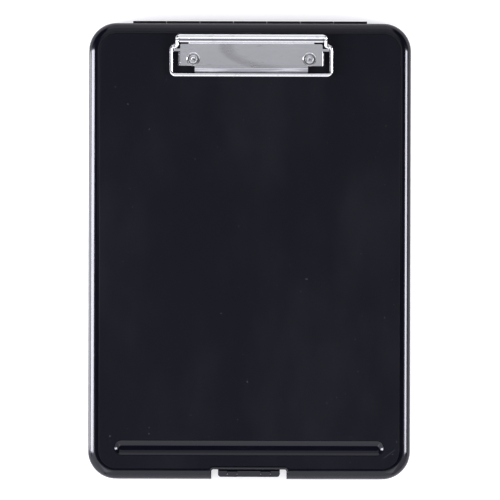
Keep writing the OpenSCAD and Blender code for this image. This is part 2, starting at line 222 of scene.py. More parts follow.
def apply(piece, kind, **settings):
    """Works one modifier into a piece's mesh."""
    object_mode(piece)
    step = piece.modifiers.new(kind.lower(), kind)
    for name, value in settings.items():
        setattr(step, name, value)
    bpy.ops.object.modifier_apply(modifier=step.name)


def boolean(piece, tool, operation):
    """Joins a tool to the piece or cuts it away, and removes the tool."""
    apply(piece, "BOOLEAN", operation=operation, solver="EXACT", object=tool)
    bpy.data.objects.remove(tool)


def join(piece, tool):
    """Makes a tool part of the piece."""
    boolean(piece, tool, "UNION")


def cut(piece, tool):
    """Cuts a tool's shape out of the piece."""
    boolean(piece, tool, "DIFFERENCE")


def joined(pieces):
    """Several meshes as one object, the first one's."""
    object_mode(pieces[0])
    for piece in pieces[1:]:
        piece.select_set(True)
    bpy.ops.object.join()
    return pieces[0]


def clean(piece):
    """Merges doubles and turns every face outwards."""
    object_mode(piece)
    bpy.ops.object.mode_set(mode="EDIT")
    bpy.ops.mesh.select_all(action="SELECT")
    bpy.ops.mesh.remove_doubles(threshold=0.002 * mm)
    bpy.ops.mesh.normals_make_consistent(inside=False)
    object_mode(piece)


def smooth(piece, degrees=35):
    """Shades a finished piece smooth, except over sharp edges, and keeps its flats flat."""
    clean(piece)
    bpy.ops.object.shade_smooth_by_angle(angle=math.radians(degrees))
    apply(piece, "WEIGHTED_NORMAL", keep_sharp=True)


def shell(name, low, high, top_steps, bottom_steps):
    """A moulded shell: a block with round corners, its top and bottom faces worked in steps."""
    piece = block(name, (-case_w / 2, -rear_y, low), (case_w / 2, rear_y, high))
    soften(piece, upright, corner_r, corner_segments)
    for side, steps in ((1, top_steps), (-1, bottom_steps)):
        pick(piece, "faces", facing(side))
        shape_face(steps)
    object_mode(piece)
    return piece


def rod(name, centre, radius, length, end_r=0):
    """A round bar along X, its ends softened if it shows."""
    leave_edit()
    bpy.ops.mesh.primitive_cylinder_add(
        vertices=48, radius=radius, depth=length, location=centre, rotation=(0, math.pi / 2, 0)
    )
    piece = added(name)
    if end_r:
        x = centre[0]
        soften(piece, lambda edge: abs(sum(v.co.x for v in edge.verts) / 2 - x) > 0.49 * length, end_r, 2)
    object_mode(piece)
    return piece


def knuckle_x(k):
    """The middle of one bar of the hinge row."""
    return (k - (knuckle_count - 1) / 2) * (knuckle_l + knuckle_gap)


def knuckles(first, radius, spare, end_r=0):
    """Every second bar of the hinge row, as one piece."""
    return joined([
        rod("knuckle", (knuckle_x(k), hinge_y, hinge_z), radius, knuckle_l + 2 * spare, end_r)
        for k in range(first, knuckle_count, 2)
    ])


def notch_block(grow, low, high, start=front_y - far):
    """The notch's space in the front edge, grown all round, from a line at or before the edge."""
    half, back = notch_half + grow, notch_y + grow
    tool = block("notch", (-half, start, low), (half, back, high))
    soften(tool, lambda edge: upright(edge) and edge.verts[0].co.y > start + hair, notch_r + grow, 6)
    return tool


tongue_steps = [(ledge - lip_r, 0), (0, tongue_h - lip_r)] + arc(lip_r, 3, True)
tongue_steps += [(tongue_t - 2 * lip_r, 0)] + arc(lip_r, 3, False)
tongue_steps += [(0, lip_r - tongue_h - tongue_root), (wall - ledge - tongue_t, wall - ledge - tongue_t)]
tray = shell(
    "tray_shell", tray_edge_r, tray_h - lip_r,
    arc(lip_r, 3, True) + tongue_steps + [(0, -hollow_depth)] + arc(floor_r, 5, True, -1),
    arc(tray_edge_r, 8, True),
)
cut(tray, block("tongue_end", (-case_w, rear_y - 2 * corner_r, tray_h + skim), (case_w, case_l, far)))
cut(tray, notch_block(ledge, tray_h + skim, far))
join(tray, notch_block(wall, wall / 2, tray_h - skim, front_y + wall / 2))
join(tray, block("beam", (-beam_half, beam_y, wall / 2), (beam_half, rear_y - wall / 2, tray_h - skim)))
cut(tray, notch_block(0, -far, far))
catch = block(
    "catch", (-latch_half, notch_y - catch_reach, catch_low), (latch_half, notch_y + wall / 2, catch_top)
)
soften(catch, ends(lambda v: v.co.y < notch_y - mm), catch_r, 3)
join(tray, catch)
cut(tray, knuckles(1, pocket_r, knuckle_gap))
web_half = knuckle_l / 2 - skim
join(tray, joined([
    block(
        "web", (knuckle_x(k) - web_half, rear_y - wall + skim, hinge_z - web_drop),
        (knuckle_x(k) + web_half, rear_y - skim, hinge_z),
    )
    for k in range(0, knuckle_count, 2)
]))
join(tray, knuckles(0, knuckle_r, 0, knuckle_end_r))
cut(tray, rod("bore", (0, hinge_y, hinge_z), bore_r, bore_l))
smooth(tray)


class Wire:
    """A shader socket. Sums on it add Math nodes, and node() adds any other node."""

    def __init__(self, tree, socket=None):
        self.tree, self.socket = tree, socket

    def node(self, kind, settings, sockets, out=0):
        made = self.tree.nodes.new("ShaderNode" + kind)
        for name, value in settings.items():
            setattr(made, name, value)
        for name, value in sockets.items():
            if isinstance(value, Wire):
                self.tree.links.new(value.socket, made.inputs[name])
            else:
                made.inputs[name].default_value = value
        return Wire(self.tree, made.outputs[out])

    def math(self, operation, first, second=0):
        return self.node("Math", {"operation": operation}, {0: first, 1: second})

    def __add__(self, other):
        return self.math("ADD", self, other)

    def __sub__(self, other):
        return self.math("SUBTRACT", self, other)

    def __rsub__(self, other):
        return self.math("SUBTRACT", other, self)

    def __mul__(self, other):
        return self.math("MULTIPLY", self, other)

    def __abs__(self):
        return self.math("ABSOLUTE", self)

    __radd__ = __add__
    __rmul__ = __mul__


def finish(name, fixed, varying):
    """A material: its fixed Principled values, and what varies over the piece's own coordinates."""
    material = bpy.data.materials.new(name)
    material.use_nodes = True
    shader = material.node_tree.nodes["Principled BSDF"]
    for socket, value in fixed.items():
        shader.inputs[socket].default_value = value
    place = Wire(material.node_tree).node("TexCoord", {}, {}, out="Object")
    for socket, wire in varying(place).items():
        material.node_tree.links.new(wire.socket, shader.inputs[socket])
    return material


def patches(place, size, detail=2, stretch=None):
    """Soft random patches of about a size, from 0 to 1, drawn out along an axis if asked."""
    if stretch:
        place = place.node("Mapping", {}, {"Vector": place, "Scale": stretch})
    return place.node("TexNoise", {}, {"Vector": place, "Scale": 1 / size, "Detail": detail})


def between(mask, low, high):
    """0 where a mask is below low, 1 above high, and smooth between."""
    limits = {"Value": mask, "From Min": low, "From Max": high}
    return mask.node("MapRange", {"interpolation_type": "SMOOTHSTEP"}, limits)


def tint(mask, dark, light):
    """A colour that goes from one colour, or painted colour, to another with a mask."""
    dark, light = (c if isinstance(c, Wire) else (*c, 1) for c in (dark, light))
    return mask.node("Mix", {"data_type": "RGBA"}, {0: mask, 6: dark, 7: light}, out=2)


def bump(height, depth):
    """The surface's normal where it is raised by a height from 0 to 1, times a depth."""
    return height.node("Bump", {}, {"Height": height, "Distance": depth, "Strength": 1}, out="Normal")


def moulded_gloss(place):
    """Polished mould marks, with smudges of handling and fine hairlines."""
    smudges = between(patches(place, 22 * mm, 4), 0.45, 0.75)
    hairlines = between(patches(place, 2 * mm, 3, (9, 0.5, 4)), 0.66, 0.74)
    return {
        "Base Color": tint(patches(place, 60 * mm), (0.0014, 0.0014, 0.0042), (0.0022, 0.0022, 0.0052)),
        "Roughness": 0.13 + smudges * 0.05 + hairlines * 0.05,
        "Normal": bump(patches(place, 7 * mm, 3), 0.006 * mm),
    }


gloss_black = finish("gloss_black_plastic", {"Specular IOR Level": 0.45}, moulded_gloss)
tray.data.materials.append(gloss_black)
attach(tray, "tray")
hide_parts("base_tray")

# --- Lid --------------------------------------------------------------
# The upper shell, moulded in the same black plastic. Its rim rolls over in a 6.8 mm round,
# a fine crease runs round the raised, spark-textured writing panel, and a polished groove
# near the front keeps a pen. Its three knuckles turn on the rod of the tray.
seam_gap = 0.3 * mm
lid_z = tray_h + seam_gap
rim_z = 24.4 * mm
lid_edge_r = 6.8 * mm
rim_flat = 0.6 * mm
seam = 0.05 * mm
roof_r = lid_edge_r - wall
panel_inset = lid_edge_r + rim_flat
panel_h = 0.5 * mm
panel_z = rim_z + panel_h
roof_z = panel_z - wall
hollow_run = roof_z - lid_z - roof_r - lip_r
half_w, half_l = case_w / 2 - panel_inset, rear_y - panel_inset
crease_lip_r, crease_w, crease_depth = 0.15 * mm, 0.16 * mm, 0.25 * mm
crease_slope, panel_rise, panel_edge_r = 0.12 * mm, 0.55 * mm, 0.35 * mm
flat_ring = 0.3 * mm
notch_rim = 2.1 * mm
notch_flare = 1.8 * mm
rim_y = notch_y + notch_rim
rim_x = notch_half + notch_rim / 2 - bite
slant = (rim_y + half_l) / 2
slant_in_r, slant_out_r = 1.45 * mm, 1.15 * mm
groove_half_l = 100.75 * mm
groove_half_w = 5.2 * mm
groove_depth = 2.1 * mm
groove_y = front_y + 23.3 * mm
groove_lip_r = 0.9 * mm
groove_sides = 64
groove_lip_steps, trough_steps = 5, 9
bulge_half_w, bulge_under = 7.2 * mm, 1.8 * mm
bulge_corner_r, bulge_edge_r = 5 * mm, 1.2 * mm
lid_beam_gap = 0.4 * mm
_, latch_y, latch_z = pivot("latch_hinge")
latch_r = 2.45 * mm
latch_top = 2.2 * mm
latch_fall = 1.9 * mm
lug_x = 12.5 * mm
lug_w = 7 * mm
lug_end_r = 0.3 * mm
arm_low, arm_top = 2 * mm, 0.4 * mm
clip_x, clip_y, clip_z = pivot("clip_hinge")
stop_y = clip_y + 8 * mm
stop_half_l, stop_half_w = 7.8 * mm, 2.7 * mm
stop_sink, stop_h = 0.2 * mm, 0.5 * mm
stop_corner_r, stop_edge_r = 1.2 * mm, 0.25 * mm
rivet_x, rivet_y = 43.6 * mm, -9.4 * mm
rivet_hole_r = 1.8 * mm


def only(piece, kind, test, action):
    """Deletes the parts of a mesh that pass a test."""
    pick(piece, kind, test)
    bpy.ops.mesh.delete(type=action)


def sheet(name, low, high, z, cuts=(), gone=None):
    """A flat outline: a rectangle, sliced along x or y lines, without the slices that a test names."""
    leave_edit()
    bpy.ops.mesh.primitive_plane_add(size=1, location=((low[0] + high[0]) / 2, (low[1] + high[1]) / 2, z))
    bpy.context.object.scale = (high[0] - low[0], high[1] - low[1], 1)
    piece = added(name)
    for side, line in cuts:
        pick(piece, "faces", everything)
        point, normal = [0, 0, 0], [0, 0, 0]
        point[side], normal[side] = line, 1
        bpy.ops.mesh.bisect(plane_co=point, plane_no=normal)
    if gone:
        only(piece, "faces", lambda face: gone(face.calc_center_median()), "FACE")
        pick(piece, "faces", everything)
        bpy.ops.mesh.dissolve_faces(use_verts=False)
    return piece


def near(co, x, y):
    """Whether a point lies over a place, on either side of the middle."""
    return math.hypot(abs(co.x) - abs(x), co.y - y) < hair


def fill_loops(piece, z):
    """Fills flat between the open loops at one height."""
    pick(piece, "edges", lambda edge: edge.is_boundary and ends(lambda v: abs(v.co.z - z) < hair)(edge))
    bpy.ops.mesh.fill(use_beauty=True)


def drill(piece, centre, depth):
    """Drills an upright hole for a rivet."""
    leave_edit()
    bpy.ops.mesh.primitive_cylinder_add(vertices=40, radius=rivet_hole_r, depth=depth, location=centre)
    cut(piece, bpy.context.object)


lid = shell(
    "lid_shell", lid_z + lip_r, rim_z - lid_edge_r,
    arc(lid_edge_r, 14, True) + [(rim_flat - seam, 0)],
    arc(lip_r, 3, True) + [(wall - 2 * lip_r, 0)] + arc(lip_r, 3, False) + [(0, -hollow_run)]
    + arc(roof_r, 6, True, -1),
)
only(lid, "faces", lambda face: facing(1)(face) and abs(face.calc_center_median().z - rim_z) < hair / 2, "FACE")

# The panel's outline steps back behind the notch, with slanting sides.
panel = sheet(
    "panel", (-half_w, -half_l), (half_w, half_l), rim_z,
    [(0, -rim_x), (0, rim_x), (1, rim_y)], lambda c: abs(c.x) < rim_x and c.y < rim_y,
)
for y, run in ((-half_l, slant), (rim_y, -slant)):
    pick(panel, "verts", lambda v: near(v.co, rim_x, y))
    bpy.ops.transform.resize(value=(1 + run / rim_x, 1, 1), center_override=(0, 0, 0))
pick(panel, "verts", lambda v: abs(v.co.y - rim_y) < hair and abs(v.co.x) > rim_x + mm)
bpy.ops.mesh.dissolve_verts()
soften(
    panel, lambda v: near(v.co, half_w, -half_l) or near(v.co, half_w, half_l),
    corner_r - panel_inset, corner_segments, "verts",
)
soften(panel, lambda v: near(v.co, rim_x - slant, rim_y), slant_in_r, 6, "verts")
soften(panel, lambda v: near(v.co, rim_x + slant, -half_l), slant_out_r, 6, "verts")
pick(panel, "faces", everything)
shape_face(
    arc(crease_lip_r, 3, False)
    + [(crease_slope, -crease_depth), (crease_w, 0), (crease_slope, panel_rise)]
    + arc(panel_edge_r, 5, True) + [(flat_ring, 0)]
)
only(panel, "faces", lambda face: len(face.verts) > 20, "FACE")
lid = joined([lid, panel])
fill_loops(lid, rim_z)

# The pen groove: a round lip and then a trough, seen end on.
trough_r = (groove_half_w**2 + groove_depth**2) / (2 * groove_depth)
trough_z = trough_r - groove_depth
lip_x = math.sqrt((trough_r + groove_lip_r) ** 2 - (trough_z + groove_lip_r) ** 2)
lip_turn = math.acos((trough_z + groove_lip_r) / (trough_r + groove_lip_r))
profile = [(lip_x + flat_ring, 0)]
for k in range(groove_lip_steps + 1):
    turn = lip_turn * k / groove_lip_steps
    profile.append((lip_x - groove_lip_r * math.sin(turn), groove_lip_r * (math.cos(turn) - 1)))
for k in range(1, trough_steps + 1):
    turn = lip_turn * (1 - k / (trough_steps + 0.5))
    profile.append((trough_r * math.sin(turn), trough_z - trough_r * math.cos(turn)))
leave_edit()
bpy.ops.mesh.primitive_circle_add(
    vertices=groove_sides, radius=lip_x + flat_ring, fill_type="NGON",
    location=(0, groove_y, panel_z), rotation=(0, 0, math.pi / groove_sides),
)
groove = added("groove")
for side in (-1, 1):
    pick(groove, "verts", lambda v: v.co.x * side > 0)
    shift(side * (groove_half_l - groove_half_w), 0, 0)
pick(groove, "faces", everything)
shape_face([(a[0] - b[0], b[1] - a[1]) for a, b in zip(profile, profile[1:])])
lid = joined([lid, groove])
fill_loops(lid, panel_z)
clean(lid)

bulge = block(
    "bulge", (-groove_half_l, groove_y - bulge_half_w, panel_z - groove_depth - bulge_under),
    (groove_half_l, groove_y + bulge_half_w, roof_z + 3 * bite),
)
soften(bulge, upright, bulge_corner_r, 6)
soften(bulge, ends(lambda v: v.co.z < roof_z - mm), bulge_edge_r, 4)
join(lid, bulge)
join(lid, notch_block(wall, lid_z + skim, roof_z + bite, front_y + wall + seam_gap))
join(lid, block(
    "beam", (-beam_half, beam_y, lid_z + skim), (beam_half, rear_y - wall + bite, roof_z - lid_beam_gap)
))
cut(lid, notch_block(0, lid_z - far, far + far))
cut(lid, knuckles(0, pocket_r, knuckle_gap))
join(lid, knuckles(1, knuckle_r, 0, knuckle_end_r))
cut(lid, rod("bore", (0, hinge_y, hinge_z), bore_r, bore_l))

for x in (-lug_x, lug_x):
    lug = rod("lug", (x, latch_y, latch_z), latch_r, lug_w, lug_end_r)
    join(lug, block(
        "arm", (x - lug_w / 2 + skim, latch_y, latch_z - arm_low),
        (x + lug_w / 2 - skim, notch_y + mm, latch_z + arm_top),
    ))
    shaving = block(
        "shaving", (x - lug_w, latch_y - latch_r, latch_z + latch_top),
        (x + lug_w, latch_y + latch_top, latch_z + 2 * latch_r),
    )
    pick(shaving, "verts", lambda v: v.co.y < latch_y and v.co.z < latch_z + latch_top + skim)
    shift(0, 0, -latch_fall)
    cut(lug, shaving)
    join(lid, lug)

stop = block(
    "stop", (clip_x - stop_half_l, stop_y - stop_half_w, panel_z - stop_sink),
    (clip_x + stop_half_l, stop_y + stop_half_w, panel_z + stop_h),
)
soften(stop, upright, stop_corner_r, 4)
soften(stop, ends(lambda v: v.co.z > panel_z), stop_edge_r, 3)
join(lid, stop)
for side in (-1, 1):
    drill(lid, (clip_x + side * rivet_x, clip_y + rivet_y, panel_z - wall / 2), 3 * wall)
flare = notch_block(notch_flare - skim, rim_z + skim, far + far)
pick(flare, "faces", facing(-1))
shape_face(arc(notch_flare, 8, False, -1))
cut(lid, flare)
smooth(lid)


def vector(place, operation, by=(0, 0, 0), out="Vector"):
    """A place worked on by a Vector Math node."""
    return place.node("VectorMath", {"operation": operation}, {0: place, 1: by}, out=out)


def spark_texture(place):
    """Eroded mould texture, rubbed by sheets, with pale specks and one scratch in the front corner."""
    grain = patches(place, 0.55 * mm, 3)
    specks = between(patches(place, 3.2 * mm, 6), 0.71, 0.76)
    rubbed = between(patches(place, 45 * mm, 4, (1, 0.45, 1)), 0.4, 0.8)
    scratch_x, scratch_y, turn = 105.4 * mm, -151.8 * mm, math.radians(37)
    along, aside = math.cos(turn), math.sin(turn)
    run = vector(place, "DOT_PRODUCT", (along, aside, 0), "Value")
    off = vector(place, "DOT_PRODUCT", (-aside, along, 0), "Value")
    run = abs(run - (scratch_x * along + scratch_y * aside))
    off = abs(off - (scratch_y * along - scratch_x * aside))
    scratch = (1 - between(run, 3 * mm, 7 * mm)) * (1 - between(off, 0.1 * mm, 0.5 * mm))
    worn = specks * 0.8 + rubbed * 0.12 + scratch * 0.45
    return {
        "Base Color": tint(worn, (0.0026, 0.0026, 0.0052), (0.035, 0.035, 0.04)),
        "Roughness": 0.56 - rubbed * 0.04 + grain * 0.04,
        "Normal": bump(grain, 0.012 * mm),
    }


matte_black = finish("spark_textured_plastic", {"Specular IOR Level": 0.1}, spark_texture)
lid.data.materials.append(gloss_black)
lid.data.materials.append(matte_black)
tray.data.materials.append(matte_black)


def textured(centre):
    """Whether a face of the lid lies on the writing panel, clear of the groove and the stop."""
    x, y, z = centre
    panel_here = z > rim_z + 0.05 * mm and abs(x) < half_w - 0.5 * mm and abs(y) < half_l - 0.5 * mm
    stop_here = (
        z > panel_z + hair and abs(x - clip_x) < stop_half_l + 0.2 * mm and abs(y - stop_y) < stop_half_w + 0.1 * mm
    )
    past_end = max(0, abs(x) - groove_half_l + groove_half_w)
    groove_here = math.hypot(past_end, y - groove_y) < lip_x + flat_ring / 2
    return panel_here and not stop_here and not groove_here


def on_knuckle(centre):
    """Whether a face lies on a knuckle of the hinge, which has the texture too."""
    return math.hypot(centre.y - hinge_y, centre.z - hinge_z) < knuckle_r + skim and centre.y > hinge_y - mm


for shell_part, test in ((tray, on_knuckle), (lid, on_knuckle), (lid, textured)):
    for face in shell_part.data.polygons:
        if test(face.center):
            face.material_index = 1
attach(lid, "lid")
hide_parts("lid_board")

# --- Latch ------------------------------------------------------------
# A swing latch moulded in the same black plastic, in the notch of the front edge. Its bar
# turns on a steel pin between two lugs of the lid, and its hook catches a ledge in the tray.
latch_foot = 4 * mm
latch_t = 2.2 * mm
latch_corner_r = 2.2 * mm
latch_edge_r = 0.9 * mm
latch_back_r = 2 * mm
latch_front = latch_y - latch_r
plate_edge_r = 0.35 * mm
hook_low, hook_top = 6 * mm, 8.1 * mm
hook_half, hook_y, hook_r = latch_half - 0.3 * mm, notch_y - 0.4 * mm, 0.5 * mm
slot_half_w = lug_w / 2 + 0.25 * mm
slot_r, slot_top, slot_round = 2.7 * mm, 4 * mm, 2.6 * mm
slot_edge_r = 0.35 * mm
pin_bore_r, pin_bore_l = 0.85 * mm, 60 * mm


def sharp(edge, degrees=50):
    """Whether the faces beside an edge meet at a sharp angle."""
    return edge.is_manifold and edge.calc_face_angle() > math.radians(degrees)


def lengthways(edge):
    """Whether an edge runs for more than a millimetre along X."""
    return abs(edge.verts[0].co.x - edge.verts[1].co.x) > mm


above_pin = ends(lambda v: v.co.z > latch_z)
latch = block(
    "latch_bar", (-latch_half, latch_front, latch_z - latch_r),
    (latch_half, latch_y + latch_top, latch_z + latch_top),
)
pick(latch, "verts", lambda v: v.co.y < latch_y and v.co.z > latch_z)
shift(0, 0, -latch_fall)
soften(latch, lambda edge: upright(edge) and edge.verts[0].co.y < latch_y, latch_corner_r, 8)
soften(
    latch,
    lambda edge: not upright(edge) and above_pin(edge) and min(v.co.y for v in edge.verts) < latch_y,
    latch_edge_r, 6,
)
soften(latch, ends(lambda v: v.co.y > latch_y and v.co.z < latch_z), latch_back_r, 6)
plate = block(
    "latch_plate", (-latch_half, latch_front, latch_foot), (latch_half, latch_front + latch_t, latch_z - 1.2 * mm)
)
soften(plate, lambda edge: upright(edge) and edge.verts[0].co.y < latch_front + mm, latch_corner_r - skim, 8)
soften(
    plate, lambda edge: sharp(edge) and not upright(edge) and edge.verts[0].co.z < latch_z - 2 * mm,
    plate_edge_r, 3,
)
hook = block("latch_hook", (-hook_half, latch_front + latch_t / 2, hook_low), (hook_half, hook_y, hook_top))
soften(hook, ends(lambda v: v.co.y > latch_y), hook_r, 3)
join(latch, plate)
join(latch, hook)
for x in (-lug_x, lug_x):
    slot = block(
        "slot", (x - slot_half_w, latch_y - slot_r, latch_z - slot_r),
        (x + slot_half_w, latch_y + slot_r, latch_z + slot_top),
    )
    soften(slot, lambda edge: lengthways(edge) and ends(lambda v: v.co.z < latch_z)(edge), slot_round, 8)
    cut(latch, slot)
soften(latch, lambda edge: sharp(edge, 40) and lengthways(edge) and above_pin(edge), slot_edge_r, 3)
cut(latch, rod("bore", (0, latch_y, latch_z), pin_bore_r, pin_bore_l))
smooth(latch)
latch.data.materials.append(gloss_black)
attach(latch, "latch")
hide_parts("latch_clasp")

# --- Clip plate -------------------------------------------------------
# The pressed steel body of the clip, nickel plated. It is one sheet with a folded lip and
# flanges, two dimples for the rivets, and two ears that carry the wire's journals.
clip_at = Vector((clip_x, clip_y, clip_z))
sheet_t = 0.8 * mm
plate_top = 0.6 * mm
plate_half = 53.5 * mm
plate_back = 2 * mm
plate_front = -14.4 * mm
plate_corner_r, plate_back_r = 0.8 * mm, 1.2 * mm
plate_cut_r = 0.12 * mm
fold_r = 0.25 * mm
lip_half = 42.5 * mm
lip_start = -16.3 * mm
lip_end = -19.6 * mm
flange_start = -4.1 * mm
flange_w = 1.4 * mm
flange_half = plate_half + flange_w
slope_drop = 2.1 * mm
dimple_lift = 0.8 * mm
rivet_z = panel_z + dimple_lift - clip_z
dimple_foot_r, dimple_top_r = 3.5 * mm, 4.7 * mm
dimple_wall = 0.3 * mm
dimple_flare = (dimple_top_r - dimple_foot_r) / (plate_top - rivet_z)
cup_z = panel_z + skim - clip_z
journal_x = 57.9 * mm
ear_r = 2.4 * mm
ear_t = 0.8 * mm
ear_end_r = 0.15 * mm
eye_r = 1.45 * mm
tab_front, tab_back = -3.5 * mm, -1.6 * mm


def off_plate(face):
    """Whether a slice of the sheet lies beside the lip or beside the flanges, where it is cut away."""
    x, y, _ = face.calc_center_median()
    return (abs(x) > lip_half and y < plate_front) or (abs(x) > plate_half and y > flange_start)


def on_ring(edge, radius, z):
    """Whether an edge lies on a ring about a rivet."""
    return ends(
        lambda v: abs(math.hypot(abs(v.co.x) - rivet_x, v.co.y - rivet_y) - radius) < 3 * hair
        and abs(v.co.z - z) < hair
    )(edge)


def thicken(piece, thickness, edge_r):
    """Gives a sheet its thickness, below its outer face, and softens its cut edges."""
    pick(piece, "faces", everything)
    bpy.ops.mesh.remove_doubles(threshold=0.002 * mm)
    apply(piece, "SOLIDIFY", thickness=thickness, offset=-1, use_even_offset=True)
    soften(piece, lambda edge: sharp(edge, 70), edge_r, 2)


def place_clip(piece):
    """Moves a piece made about the clip's pivot to its place."""
    pick(piece, "verts", everything)
    shift(*clip_at)


clip_plate = sheet(
    "clip_plate_sheet", (-flange_half, lip_end), (flange_half, plate_back), plate_top,
    [(0, side * x) for side in (-1, 1) for x in (plate_half, lip_half)]
    + [(1, y) for y in (plate_front, lip_start, flange_start)],
)
only(clip_plate, "faces", off_plate, "FACE")
pick(clip_plate, "verts", lambda v: abs(v.co.x) > flange_half - skim or v.co.y < lip_end + skim)
shift(0, 0, -slope_drop)
for x, y in ((flange_half, plate_front), (flange_half, flange_start), (lip_half, lip_end)):
    soften(clip_plate, lambda v: near(v.co, x, y), plate_corner_r, 4, "verts")
soften(clip_plate, lambda v: near(v.co, plate_half, plate_back), plate_back_r, 5, "verts")
for fold in (
    lambda v: abs(v.co.y - lip_start) < skim,
    lambda v: abs(abs(v.co.x) - plate_half) < skim and v.co.y < flange_start + skim,
):
    soften(
        clip_plate,
        lambda edge: not edge.is_boundary and ends(lambda v: fold(v) and v.co.z > plate_top - skim)(edge),
        fold_r, 3,
    )
thicken(clip_plate, sheet_t, plate_cut_r)
for operation, r, low, high in (
    ("UNION", dimple_foot_r + dimple_wall, cup_z, plate_top - 0.15 * mm),
    ("DIFFERENCE", dimple_foot_r, rivet_z, plate_top + mm),
):
    for side in (-1, 1):
        leave_edit()
        bpy.ops.mesh.primitive_cone_add(
            vertices=64, radius1=r, radius2=r + dimple_flare * (high - low), depth=high - low,
            location=(side * rivet_x, rivet_y, (low + high) / 2),
        )
        boolean(clip_plate, bpy.context.object, operation)
soften(clip_plate, lambda edge: on_ring(edge, dimple_top_r, plate_top), 0.4 * mm, 4)
soften(clip_plate, lambda edge: on_ring(edge, dimple_foot_r, rivet_z), 0.3 * mm, 3)
for side in (-1, 1):
    drill(clip_plate, (side * rivet_x, rivet_y, rivet_z), 9 * mm)
for side in (-1, 1):
    inner, outer = sorted((side * (plate_half - mm), side * (journal_x + ear_t / 2)))
    tab = block("tab", (inner, tab_front, plate_top - sheet_t), (outer, tab_back, plate_top))
    foot = block(
        "foot", (side * journal_x - ear_t / 2, tab_front, plate_top - sheet_t),
        (side * journal_x + ear_t / 2, 0, plate_top),
    )
    ear = rod("ear", (side * journal_x, 0, 0), ear_r, ear_t, ear_end_r)
    join(tab, foot)
    join(ear, tab)
    cut(ear, rod("eye", (side * journal_x, 0, 0), eye_r, 3 * ear_t))
    join(clip_plate, ear)
place_clip(clip_plate)
smooth(clip_plate)


def axis(place, letter):
    """One coordinate of a place."""
    return place.node("SeparateXYZ", {}, {"Vector": place}, out=letter)


def nickel_sheet(place):
    """Rolled and plated sheet, with scuffs, a painted dark reflection curving over its left half, and a darker,
    streaked lip.
    """
    rolled = patches(place, 1.2 * mm, 3, (0.06, 1, 1))
    clouds = between(patches(place, 26 * mm, 3), 0.35, 0.7)
    scuffs = between(patches(place, 2.4 * mm, 4, (0.35, 1.6, 1)), 0.64, 0.72)
    streaks = between(patches(place, 5 * mm, 3, (0.12, 2, 1)), 0.5, 0.62)
    fold_y = clip_y + lip_start
    flat = between(axis(place, "Y"), fold_y - 0.3 * mm, fold_y + 0.1 * mm)
    # The lip below the fold is darker, with streaks along it.
    lip_tone = tint(streaks, (0.34, 0.34, 0.35), (0.62, 0.62, 0.62))
    # Painted reflection: a dark curved swoosh over the left half darkens the plating's colour and roughens it.
    reflection_x, reflection_y, across, along = 26.6 * mm, 153 * mm, 48 * mm, 17 * mm
    centred = {"Location": (-reflection_x / across, -reflection_y / along, 0), "Scale": (1 / across, 1 / along, 0)}
    swept = vector(place.node("Mapping", {}, {"Vector": place, **centred}), "LENGTH", out="Value")
    fading = 1 - between(axis(place, "X"), 0, 34 * mm)
    painted_reflection = between(swept, 0.74, 0.94) * (1 - between(swept, 0.96, 1.08)) * fading
    plated = tint(clouds - painted_reflection, (0.72, 0.72, 0.71), (0.79, 0.79, 0.78))
    return {
        "Base Color": tint(flat, lip_tone, plated),
        "Roughness": 0.13 + rolled * 0.04 + clouds * 0.03 + scuffs * 0.08 + painted_reflection * 0.11,
        "Normal": bump(rolled + patches(place, 9 * mm) * 8, 0.001 * mm),
    }


plated_sheet = finish("nickel_plated_sheet", {"Metallic": 1}, nickel_sheet)
clip_plate.data.materials.append(plated_sheet)
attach(clip_plate, "lid")
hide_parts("clip_plate")

# --- Spring strip -----------------------------------------------------
# The springy rear edge of the same plated sheet, between the plate and the thumb rail. On the clip
# it bends while the plate stays still and the rail swings; here it is one still shape, on no body.
strip_half = 47.15 * mm
strip_t = 0.35 * mm
strip_cut_r = 0.1 * mm
strip_run = 0.1 * mm
strip_bend_r, strip_bend = 0.5 * mm, 55


def spin(centre, about, turn, steps):
    """Draws what is selected round an axis. With no window, the tool turns the other way."""
    bpy.ops.mesh.spin(steps=steps, angle=-turn, center=centre, axis=about)


def ruled(name, half, start, moves):
    """A sheet drawn from an edge across X: round a centre by some degrees, or straight on in no steps."""
    leave_edit()
    bpy.ops.mesh.primitive_plane_add(size=2 * half, location=(0, start[0] + half, start[1]))
    piece = added(name)
    only(piece, "verts", lambda v: v.co.y > start[0] + half, "VERT")
    pick(piece, "verts", everything)
    for centre, turn, steps in moves:
        if steps:
            spin((0, *centre), (1, 0, 0), math.radians(turn), steps)
        else:
            bpy.ops.mesh.extrude_region_move(TRANSFORM_OT_translate={"value": (0, *centre)})
    return piece


strip = ruled(
    "spring_strip", strip_half, (plate_back, plate_top),
    [
        ((strip_run, 0), 0, 0),
        ((plate_back + strip_run, plate_top + strip_bend_r), strip_bend, 6),
        ((0.2 * mm, 0.33 * mm), 0, 0),
        ((0.15 * mm, 0.31 * mm), 0, 0),
    ],
)
thicken(strip, strip_t, strip_cut_r)
place_clip(strip)
smooth(strip)
strip.data.materials.append(plated_sheet)
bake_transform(strip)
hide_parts("clip_spring_strip")

# --- Thumb rail -------------------------------------------------------
# The end of the plated sheet, rolled round the arms of the wire. The thumbs press it to
# lift the bar. A small ridge runs along its front.
rail_half = 54.15 * mm
rail_at = (7.4 * mm, 2.8 * mm)
rail_r = 1.8 * mm
rail_wall = 0.35 * mm
rail_cut_r = 0.08 * mm
rail_wrap = 335
ridge_at = (4.1 * mm, 1.4 * mm)
ridge_r = 0.9 * mm
ridge_start = 200
valley_r = 0.5 * mm

